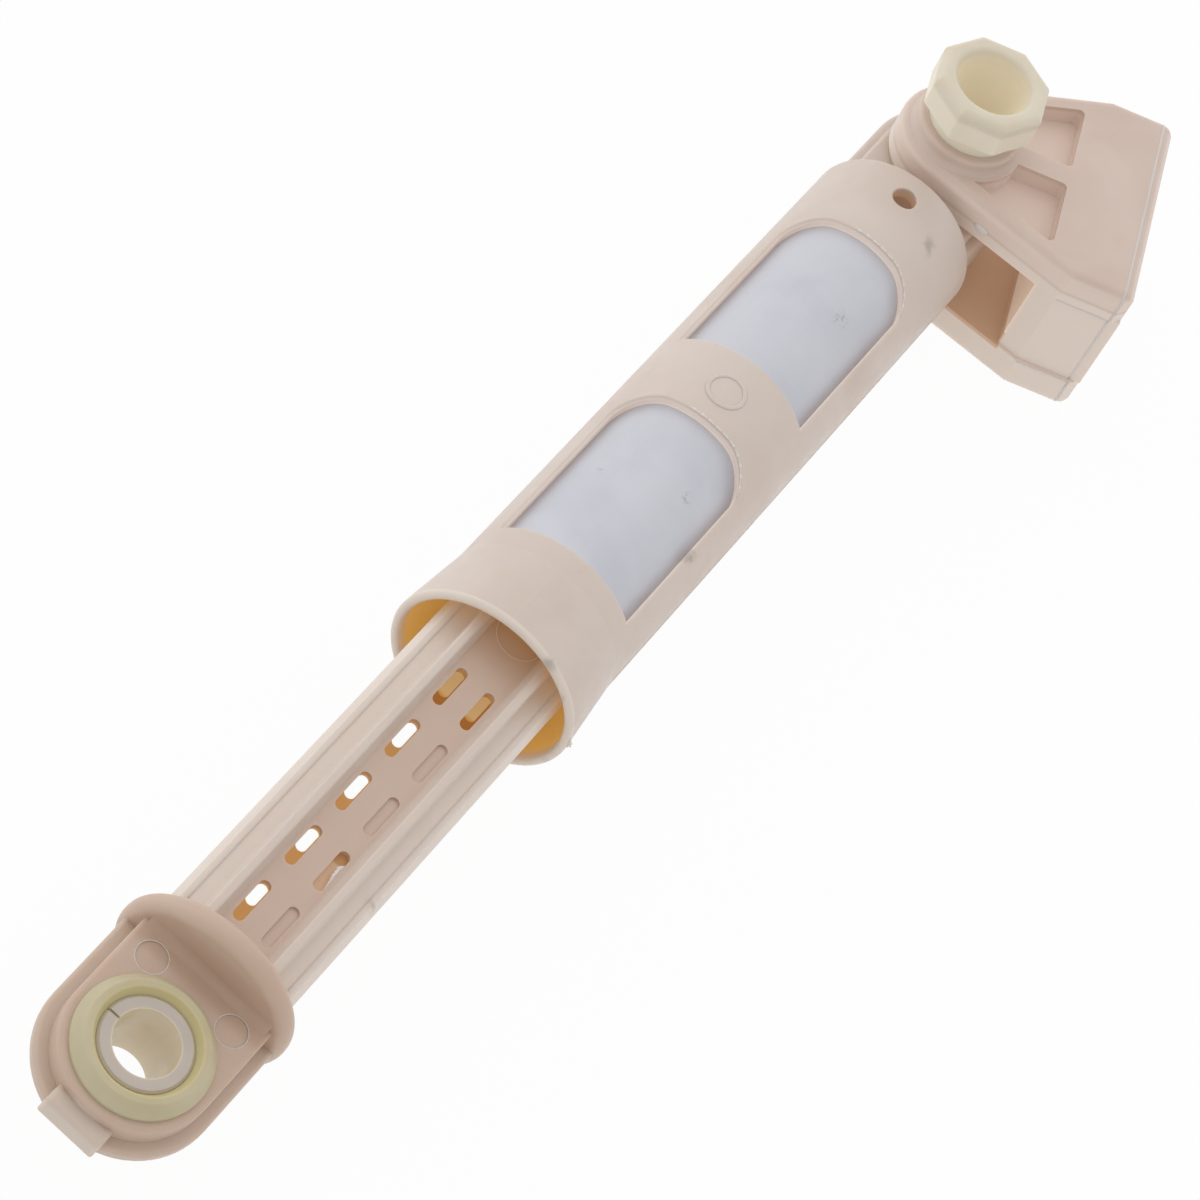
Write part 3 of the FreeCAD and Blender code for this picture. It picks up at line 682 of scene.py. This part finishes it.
@dataclass(frozen=True)
class HousingDetails:
    """Small moulding marks of the housing: a plain ring, seams, and flash at the mouth and the windows.

    Attributes:
        ring_x_mm: Place of the plain ring, between the windows.
        ring_r_mm: Radius of the ring.
        ring_bead_mm: Half width and height of the ring's bead.
        seam_sides_deg: Sides of the tube with a seam, from +Z towards +Y.
        seam_gaps_mm: Gaps between a seam and the flare, and between it and the tube's end.
        seam_bead_mm: Half width and height of a seam.
        flake_deg: Place of the flake of flash on the rim, from +Z towards -Y.
        flake_half_deg: Half of the turn that the flake spans.
        flake_root_mm: How far the flake's root lies behind the mouth and below the rim.
        flake_reach_mm: How far the flake stands out at its ends, and how much further at most between them.
        flake_lean: How far the flake leans out of the mouth for each millimetre that it stands out.
        flake_section: Share of the reach and offset along X in millimetres for each point of a section.
        window_flash_from_deg: Where the windows' flash starts on their lower corner.
        window_flash_to_mm: How far that flash runs along their ends, towards +Y.
        window_flash_gap_mm: Distance of that flash from the window's edge.
        window_flash_bead_mm: Half width and height of that flash.
    """

    ring_x_mm: float = 158.8
    ring_r_mm: float = 3.3
    ring_bead_mm: tuple[float, float] = (0.45, 0.24)
    seam_sides_deg: tuple[float, float] = (90.0, -90.0)
    seam_gaps_mm: tuple[float, float] = (1.0, 3.0)
    seam_bead_mm: tuple[float, float] = (0.22, 0.12)
    flake_deg: float = 88.0
    flake_half_deg: float = 5.0
    flake_root_mm: tuple[float, float] = (0.85, 0.08)
    flake_reach_mm: tuple[float, float] = (0.05, 0.85)
    flake_lean: float = 0.35
    flake_section: tuple[tuple[float, float], ...] = (
        (0.0, 0.12), (0.5, 0.09), (1.0, 0.03), (0.5, -0.09), (0.0, -0.12))
    window_flash_from_deg: float = -70.0
    window_flash_to_mm: float = 3.0
    window_flash_gap_mm: float = 0.35
    window_flash_bead_mm: tuple[float, float] = (0.34, 0.2)

    def on_tube(self, x_mm: float, turn: float) -> tuple[Vector, Vector]:
        """Return a point on the tube with its normal.

        Args:
            x_mm: Place along the damper.
            turn: Angle from +Z towards +Y, in radians.

        Returns:
            The point in millimetres and the outward normal.
        """
        normal = Vector((0.0, math.sin(turn), math.cos(turn)))
        return Vector((x_mm, 0.0, 0.0)) + normal * HOUSING_R_MM, normal

    def ring(self) -> bmesh.types.BMesh:
        """Build the plain moulded ring.

        Returns:
            The ring's mesh.
        """
        path = []
        for step in range(HOUSING_RING_STEPS):
            angle = math.tau * step / HOUSING_RING_STEPS
            x = self.ring_x_mm + self.ring_r_mm * math.cos(angle)
            path.append(self.on_tube(x, self.ring_r_mm * math.sin(angle) / HOUSING_R_MM))
        return bead(path, *self.ring_bead_mm, closed=True)

    def seam(self, side_deg: float) -> bmesh.types.BMesh:
        """Build one seam along the tube.

        Args:
            side_deg: Side of the tube, from +Z towards +Y.

        Returns:
            The seam's mesh.
        """
        start = FLARE_END_X_MM + self.seam_gaps_mm[0]
        run = HOUSING_END_X_MM - self.seam_gaps_mm[1] - start
        turn = math.radians(side_deg)
        path = [self.on_tube(start + run * step / SEAM_STEPS, turn) for step in range(SEAM_STEPS + 1)]
        return bead(path, *self.seam_bead_mm, ragged=0.4)

    def flake(self) -> bmesh.types.BMesh:
        """Build the thin torn flake of flash on the mouth's rim.

        Returns:
            The flake's mesh.
        """
        behind, below = self.flake_root_mm
        least, further = self.flake_reach_mm
        rows = []
        for step in range(FLAKE_STEPS + 1):
            share = step / FLAKE_STEPS
            turn = math.radians(self.flake_deg + self.flake_half_deg * (2.0 * share - 1.0))
            torn = 0.75 + 0.25 * math.sin(step * 1.9)
            reach = least + further * math.sin(math.pi * share) * torn
            row = []
            for lift, offset in self.flake_section:
                radius = FLARE_RIM_R_MM - below + reach * lift
                x = MOUTH_X_MM + behind + offset - self.flake_lean * reach * lift
                row.append(Vector((x, -radius * math.sin(turn), radius * math.cos(turn))))
            rows.append(row)
        return skin(rows, closed=False)

    def window_flash(self, end_x_mm: float) -> bmesh.types.BMesh:
        """Build the ragged flash round the lower corner of one window's end.

        Args:
            end_x_mm: Where the window ends.

        Returns:
            The flash's mesh.
        """
        corner_x = end_x_mm - WINDOW_CORNER_MM
        corner_y = WINDOW_CORNER_MM - WINDOW_HALF_MM
        radius = WINDOW_CORNER_MM + self.window_flash_gap_mm
        places = []
        for step in range(FLASH_STEPS + 1):
            turn = math.radians(self.window_flash_from_deg * (1.0 - step / FLASH_STEPS))
            places.append((corner_x + radius * math.cos(turn), corner_y + radius * math.sin(turn)))
        for step in range(1, FLASH_STEPS + 1):
            across = corner_y + (self.window_flash_to_mm - corner_y) * step / FLASH_STEPS
            places.append((corner_x + radius, across))
        path = [self.on_tube(x, math.asin(y / HOUSING_R_MM)) for x, y in places]
        return bead(path, *self.window_flash_bead_mm, ragged=0.9)

    def build(self, body: bpy.types.Material, flash: bpy.types.Material) -> None:
        """Add all the housing's details.

        Args:
            body: The housing's material.
            flash: Material of whitened flash.
        """
        add_piece("housing_plain_ring", self.ring(), body, Body.HOUSING)
        for name, side in zip(("left", "right"), self.seam_sides_deg):
            add_piece(f"housing_seam_{name}", self.seam(side), body, Body.HOUSING)
        add_piece("mouth_flake", self.flake(), flash, Body.HOUSING)
        for name, end_x in zip(("first", "second"), WINDOW_ENDS_MM):
            add_piece(f"window_flash_{name}", self.window_flash(end_x), flash, Body.HOUSING)


@dataclass(frozen=True)
class PlungerDetails:
    """Rings round the plunger's ejector marks, the torn film in one slot and the fillets of its rails.

    Attributes:
        eye_marks_mm: Place along, across and above the plunger's axis and radius of each mark beside the eye.
        bar_mark_mm: The same for the mark on the bar.
        ring_mm: Half width and height of a ring.
        film_start_mm: Where the film starts along the plunger.
        film_length_mm: Length of the film.
        film_edge_mm: Place of the slot's edge that carries the film, across the plunger.
        film_reach_mm: How far the film reaches into the slot, at its least and further at most.
        film_depths_mm: Depths of its top and underside below the web, at the slot's and the torn edge.
        fillet_mm: Half width and height of the fillet along a rail.
    """

    eye_marks_mm: tuple[tuple[float, float, float, float], ...] = (
        (12.1, 8.0, 5.8, 2.7), (12.1, -8.0, 5.8, 2.7))
    bar_mark_mm: tuple[float, float, float, float] = (98.0, 0.0, WEB_TOP_MM, 4.2)
    ring_mm: tuple[float, float] = (0.1, 0.07)
    film_start_mm: float = 38.6
    film_length_mm: float = 5.8
    film_edge_mm: float = -3.95
    film_reach_mm: tuple[float, float] = (0.05, 1.25)
    film_depths_mm: tuple[tuple[float, float], tuple[float, float]] = ((0.05, 0.25), (0.12, 0.22))
    fillet_mm: tuple[float, float] = (0.55, 0.28)

    def placed(self, point: Point) -> Vector:
        """Turn a point of the upright plunger to its rest place, in millimetres."""
        return Matrix.Rotation(math.radians(PLUNGER_TWIST_DEG), 3, "X") @ Vector(point)

    def ring(self, x: float, y: float, z: float, radius: float) -> bmesh.types.BMesh:
        """Build one ring.

        Args:
            x: Place along the plunger.
            y: Place across it.
            z: Height above its axis.
            radius: Radius of the mark.

        Returns:
            The ring's mesh.
        """
        normal = self.placed((0.0, 0.0, 1.0))
        path = []
        for step in range(MARK_RING_STEPS):
            angle = math.tau * step / MARK_RING_STEPS
            place = (x + radius * math.cos(angle), y + radius * math.sin(angle), z)
            path.append((self.placed(place), normal))
        return bead(path, *self.ring_mm, closed=True, ragged=0.3)

    def film(self) -> bmesh.types.BMesh:
        """Build the thin torn film that half closes one slot.

        Returns:
            The film's mesh.
        """
        (root_top, root_under), (edge_top, edge_under) = self.film_depths_mm
        least, further = self.film_reach_mm
        rows = []
        for step in range(FILM_STEPS + 1):
            share = step / FILM_STEPS
            x = self.film_start_mm + self.film_length_mm * share
            # The film widens slowly along the slot and is torn off steeply at its end
            torn = 0.8 + 0.2 * math.sin(step * 1.3) * math.cos(step * 0.7)
            root = self.film_edge_mm
            edge = root + least + further * torn * min(share, (1.0 - share) * 6.0)
            section = ((root, root_top), (edge, edge_top), (edge, edge_under), (root, root_under))
            rows.append([self.placed((x, y, WEB_TOP_MM - depth)) for y, depth in section])
        return skin(rows, closed=False)

    def rail_fillet(self, side: int, face: int) -> bmesh.types.BMesh:
        """Build the fillet between one rail and the shoulder beside it.

        Args:
            side: 1 or -1 for the rail at +Y or -Y.
            face: 1 or -1 for the shoulder at +Z or -Z.

        Returns:
            The fillet's mesh.
        """
        normal = self.placed((0.0, -side * math.sqrt(0.5), face * math.sqrt(0.5)))
        ends = [self.placed((x, side * RAIL_Y_MM, face * SHOULDER_Z_MM)) for x in BAR_ENDS_MM]
        return bead(straight(*ends, normal, FILLET_STEPS), *self.fillet_mm)

    def build(self, body: bpy.types.Material, flash: bpy.types.Material) -> None:
        """Add the fillets, the rings and the film.

        Args:
            body: The plunger's material.
            flash: Material of whitened flash.
        """
        for side_name, side in (("left", 1), ("right", -1)):
            for face_name, face in (("upper", 1), ("lower", -1)):
                name = f"plunger_rail_fillet_{side_name}_{face_name}"
                add_piece(name, self.rail_fillet(side, face), body, Body.PLUNGER)
        for number, mark in enumerate(self.eye_marks_mm):
            add_piece(f"plunger_eye_mark_{number}", self.ring(*mark), flash, Body.PLUNGER)
        add_piece("plunger_bar_mark", self.ring(*self.bar_mark_mm), flash, Body.PLUNGER)
        add_piece("plunger_slot_film", self.film(), flash, Body.PLUNGER)


@dataclass(frozen=True)
class BracketDetails:
    """Gate scars on the bracket's flanks and the parting lines round its end, pale as a painted highlight
    along the edges.

    Attributes:
        gate_u_mm: Place of a scar along the bracket, from the pivot.
        gate_z_mm: Height of a scar.
        gate_size_mm: Half length and half width of a scar.
        gate_height_mm: Height of the scar's crown.
        gate_sink_mm: How far a scar starts below the flank.
        gate_waves: Number of waves round a scar's outline with their height, as a share of its size.
        edge_round_mm: Rounding of the cheeks' outer edges, which the lines follow.
        line_mm: Half width and height of a line.
    """

    gate_u_mm: float = 8.2
    gate_z_mm: float = 11.6
    gate_size_mm: tuple[float, float] = (1.5, 0.9)
    gate_height_mm: float = 0.35
    gate_sink_mm: float = 0.03
    gate_waves: tuple[tuple[int, float], ...] = ((3, 0.08), (7, 0.05))
    edge_round_mm: float = 2.0
    line_mm: tuple[float, float] = (0.22, 0.07)

    def turned(self, direction: Vector) -> Vector:
        """Turn a direction of the straight bracket to its rest place."""
        return Matrix.Rotation(math.radians(BRACKET_ANGLE_DEG), 3, "Z") @ direction

    def placed(self, point: Vector) -> Vector:
        """Move a point of the straight bracket, along, across and up, to its rest place in millimetres."""
        return self.turned(point) + Vector((PIVOT_X_MM, 0.0, 0.0))

    def scar(self, side: int) -> bmesh.types.BMesh:
        """Build one torn-off gate.

        Args:
            side: 1 or -1 for the flank.

        Returns:
            The scar's mesh.
        """
        reach = math.hypot(BRACKET_WAIST_MM, BRACKET_HALF_WIDTH_MM)
        touch = math.atan2(BRACKET_HALF_WIDTH_MM, BRACKET_WAIST_MM) + math.acos(BRACKET_BOSS_R_MM / reach)
        normal = Vector((math.cos(touch), side * math.sin(touch), 0.0))
        along = Vector((math.sin(touch), -side * math.cos(touch), 0.0))
        offset = (self.gate_u_mm - BRACKET_BOSS_R_MM * normal.x) / along.x
        centre = normal * BRACKET_BOSS_R_MM + along * offset + Vector((0.0, 0.0, self.gate_z_mm))
        half_length, half_width = self.gate_size_mm
        rows = []
        for loop in range(SCAR_LOOPS):
            share = 1.0 - loop / SCAR_LOOPS
            height = self.gate_height_mm * (1.0 - share ** 3) - self.gate_sink_mm
            row = []
            for step in range(SCAR_STEPS):
                angle = math.tau * step / SCAR_STEPS
                out = share * (1.0 + sum(size * math.sin(count * angle) for count, size in self.gate_waves))
                spread = along * (half_length * out * math.cos(angle))
                lift = Vector((0.0, 0.0, half_width * out * math.sin(angle)))
                row.append(self.placed(centre + spread + lift + normal * height))
            rows.append(row)
        return skin(rows, closed=False)

    def end_line(self, face: int) -> bmesh.types.BMesh:
        """Build the line over one cheek and down both its sides.

        Args:
            face: 1 or -1 for the cheek at +Z or -Z.

        Returns:
            The line's mesh.
        """
        corner = Vector((BRACKET_LINE_MM, BRACKET_HALF_WIDTH_MM, BRACKET_TOP_MM))
        corner -= Vector((0.0, self.edge_round_mm, self.edge_round_mm))
        normal = Vector((0.0, 1.0, 0.0))
        half = [(Vector((BRACKET_LINE_MM, BRACKET_HALF_WIDTH_MM, FORK_HALF_MM)), normal)]
        for step in range(CORNER_STEPS + 1):
            turn = math.pi / 2 * step / CORNER_STEPS
            normal = Vector((0.0, math.cos(turn), math.sin(turn)))
            half.append((corner + normal * self.edge_round_mm, normal))
        path = []
        for side, points in ((1, half), (-1, reversed(half))):
            flip = Matrix.Diagonal((1.0, side, face))
            path += [(self.placed(flip @ point), self.turned(flip @ normal)) for point, normal in points]
        return bead(path, *self.line_mm)

    def side_line(self, side: int) -> bmesh.types.BMesh:
        """Build the line down one side of the closing block.

        Args:
            side: 1 or -1 for the side.

        Returns:
            The line's mesh.
        """
        w = side * (BRACKET_HALF_WIDTH_MM - CLOSING_BLOCK_INSET_MM)
        ends = [self.placed(Vector((BRACKET_LINE_MM, w, z))) for z in (-FORK_HALF_MM, FORK_HALF_MM)]
        return bead(straight(*ends, self.turned(Vector((0.0, side, 0.0))), LINE_STEPS), *self.line_mm)

    def ledge_line(self, side: int, face: int) -> bmesh.types.BMesh:
        """Build the line along a cheek's edge over the closing block.

        Args:
            side: 1 or -1 for the side.
            face: 1 or -1 for the cheek at +Z or -Z.

        Returns:
            The line's mesh.
        """
        z = face * (FORK_HALF_MM + self.line_mm[0])
        w = side * BRACKET_HALF_WIDTH_MM
        ends = [self.placed(Vector((u, w, z))) for u in (BRACKET_WAIST_MM, BRACKET_LINE_MM)]
        return bead(straight(*ends, self.turned(Vector((0.0, side, 0.0))), LINE_STEPS), *self.line_mm)

    def build(self, flash: bpy.types.Material) -> None:
        """Add the scars and the lines.

        Args:
            flash: Material of whitened flash, which on the lines is a painted highlight.
        """
        # The lines are raised beads whose pale colour is also a painted highlight along the edges
        for face_name, face in (("upper", 1), ("lower", -1)):
            add_piece(f"bracket_end_line_{face_name}", self.end_line(face), flash, Body.FOOT)
        for side_name, side in (("near", -1), ("far", 1)):
            add_piece(f"bracket_gate_{side_name}", self.scar(side), flash, Body.FOOT)
            add_piece(f"bracket_side_line_{side_name}", self.side_line(side), flash, Body.FOOT)
            for face_name, face in (("upper", 1), ("lower", -1)):
                name = f"bracket_ledge_line_{side_name}_{face_name}"
                add_piece(name, self.ledge_line(side, face), flash, Body.FOOT)


@dataclass(frozen=True)
class Lamp:
    """One soft square area light aimed at a point.

    Attributes:
        name: Lamp name.
        place: Where it stands, in metres.
        target: What it points at, in metres.
        size: Width of the lamp, in metres.
        watts: Power.
    """

    name: str
    place: Point
    target: Point
    size: float
    watts: float

    def build(self) -> None:
        """Add the lamp to the scene."""
        data = bpy.data.lights.new(self.name, "AREA")
        data.shape = "SQUARE"
        data.size = self.size
        data.energy = self.watts
        lamp = bpy.data.objects.new(self.name, data)
        lamp.location = self.place
        aim = Vector(self.target) - Vector(self.place)
        lamp.rotation_mode = "QUATERNION"
        lamp.rotation_quaternion = aim.to_track_quat("-Z", "Y")
        lamp.visible_camera = False
        bpy.context.scene.collection.objects.link(lamp)
        log.info("lamp %s: %.1f W", self.name, self.watts)


@dataclass(frozen=True)
class Studio:
    """Floor, soft light and the camera of the photograph.

    Attributes:
        floor_z: Height of the floor, in metres.
        camera_place_mm: The camera's place.
        camera_right: Direction to the picture's right.
        camera_up: Direction to the picture's top.
        lens: Focal length on a 36 mm sensor.
        bright_side: Direction that most of the surrounding light comes from.
        dim_light: Strength of the surrounding light on the side away from it.
        bright_light: Strength of the surrounding light on that side.
        floor_x: Middle of the floor along X, in metres.
        floor_half: Half width of the floor, in metres.
        floor_own_white: Share of plain white in the floor as the camera sees it.
        floor_fill: Share of plain white in the floor as it lights the object from below.
        lamps: The lamps.
    """

    floor_z: float
    camera_place_mm: Point = (-294.598, -79.937, 543.702)
    camera_right: Point = (0.53628, -0.78838, 0.30145)
    camera_up: Point = (0.59054, 0.60564, 0.53335)
    lens: float = 126.27
    bright_side: Point = (0.75, 0.66, 0.0)
    dim_light: float = 0.58
    bright_light: float = 1.02
    floor_x: float = 0.12
    floor_half: float = 4.0
    floor_own_white: float = 0.95
    floor_fill: float = 0.65
    lamps: tuple[Lamp, ...] = (
        Lamp("left_back", (0.45, 0.75, 0.40), (0.12, 0.0, 0.0), 0.8, 0.5),
        Lamp("over_foot", (0.30, 0.05, 0.50), (0.24, 0.0, 0.0), 0.4, 0.2),
    )

    def white_rays(self, tree: ShaderTree) -> Socket:
        """Pick out the rays that see the background as plain white.

        Args:
            tree: Nodes of the floor or the world.

        Returns:
            A socket that is 1 for camera, glossy and transmission rays.
        """
        rays = tree.add("LightPath").node.outputs
        seen = tree.add("Math", {0: rays["Is Camera Ray"], 1: rays["Is Glossy Ray"]}, operation="MAXIMUM")
        return tree.add("Math", {0: seen, 1: rays["Is Transmission Ray"]}, operation="MAXIMUM")

    def floor(self) -> None:
        """Add the pale floor, which keeps a soft shadow."""
        mesh = bmesh.new()
        bmesh.ops.create_grid(mesh, x_segments=1, y_segments=1, size=self.floor_half)
        data = bpy.data.meshes.new("floor")
        mesh.to_mesh(data)
        mesh.free()
        floor = bpy.data.objects.new("floor", data)
        floor.location = (self.floor_x, 0.0, self.floor_z)
        bpy.context.scene.collection.objects.link(floor)
        # Matt white paper: no sheen, only a soft shadow below the part
        material = bpy.data.materials.new("white_paper")
        tree = ShaderTree(material)
        rays = self.white_rays(tree)
        share = tree.add("MapRange", {0: rays, 1: 0.0, 2: 1.0, 3: self.floor_fill, 4: self.floor_own_white})
        paper = tree.add("BsdfDiffuse", {"Color": linear(PAPER_WHITE)})
        white = tree.add("Emission", {"Color": linear(WHITE), "Strength": 1.0})
        tree.add("OutputMaterial", {"Surface": tree.add("MixShader", {0: share, 1: paper, 2: white})})
        data.materials.append(material)
        floor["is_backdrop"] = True

    def world(self) -> None:
        """Surround the object with soft light that is brighter from one side, on a white background."""
        world = bpy.data.worlds.new("studio")
        bpy.context.scene.world = world
        tree = ShaderTree(world)
        ray = tree.add("TexCoord", output="Generated")
        towards = tree.add("VectorMath", {0: ray, 1: self.bright_side}, "Value", operation="DOT_PRODUCT")
        soft = tree.add("MapRange", {0: towards, 1: -1.0, 2: 1.0, 3: self.dim_light, 4: self.bright_light})
        strength = tree.add("MapRange", {0: self.white_rays(tree), 1: 0.0, 2: 1.0, 3: soft, 4: 1.0})
        light = tree.add("Background", {"Color": linear(WHITE), "Strength": strength})
        tree.add("OutputWorld", {"Surface": light})

    def camera(self) -> None:
        """Add the camera at the photograph's viewing angle."""
        data = bpy.data.cameras.new("photograph")
        data.sensor_width = 36.0
        data.lens = self.lens
        data.clip_start = 0.01
        data.clip_end = 20.0
        camera = bpy.data.objects.new("photograph", data)
        right = Vector(self.camera_right).normalized()
        back = right.cross(Vector(self.camera_up)).normalized()
        turn = Matrix((right, back.cross(right), back)).transposed().to_4x4()
        camera.matrix_world = Matrix.Translation(Vector(self.camera_place_mm) * MM) @ turn
        bpy.context.scene.collection.objects.link(camera)
        bpy.context.scene.camera = camera

    def build(self) -> None:
        """Set up the whole studio."""
        self.floor()
        self.world()
        for lamp in self.lamps:
            lamp.build()
        self.camera()
        bpy.context.scene.view_settings.view_transform = "Standard"


def empty_scene() -> None:
    """Remove what a new Blender file starts with."""
    for thing in list(bpy.data.objects):
        bpy.data.objects.remove(thing)


def dress_nodes(nodes: dict[str, bpy.types.Object]) -> dict[str, bpy.types.Material]:
    """Give every CAD node its finish.

    Args:
        nodes: The CAD objects by node name.

    Returns:
        The materials by node name.
    """
    materials = {}
    for name, node in nodes.items():
        material = NODE_FINISHES[name].build()
        node.data.materials.clear()
        node.data.materials.append(material)
        materials[name] = material
        log.info("node %s: %s", name, material.name)
    return materials


def main() -> None:
    """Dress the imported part, add its details and set up the studio."""
    logging.basicConfig(level=logging.INFO, format="%(name)s: %(message)s")
    empty_scene()
    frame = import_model()
    cad_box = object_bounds()
    materials = dress_nodes(frame["nodes"])
    flash = FLASH_AND_HIGHLIGHT_PLASTIC.build()
    HousingDetails().build(materials["outer_housing"], flash)
    PlungerDetails().build(materials["plunger_rod"], flash)
    BracketDetails().build(flash)
    Studio(floor_z=cad_box[0][2] - FLOOR_GAP_MM * MM).build()


if __name__ == "__main__":
    main()
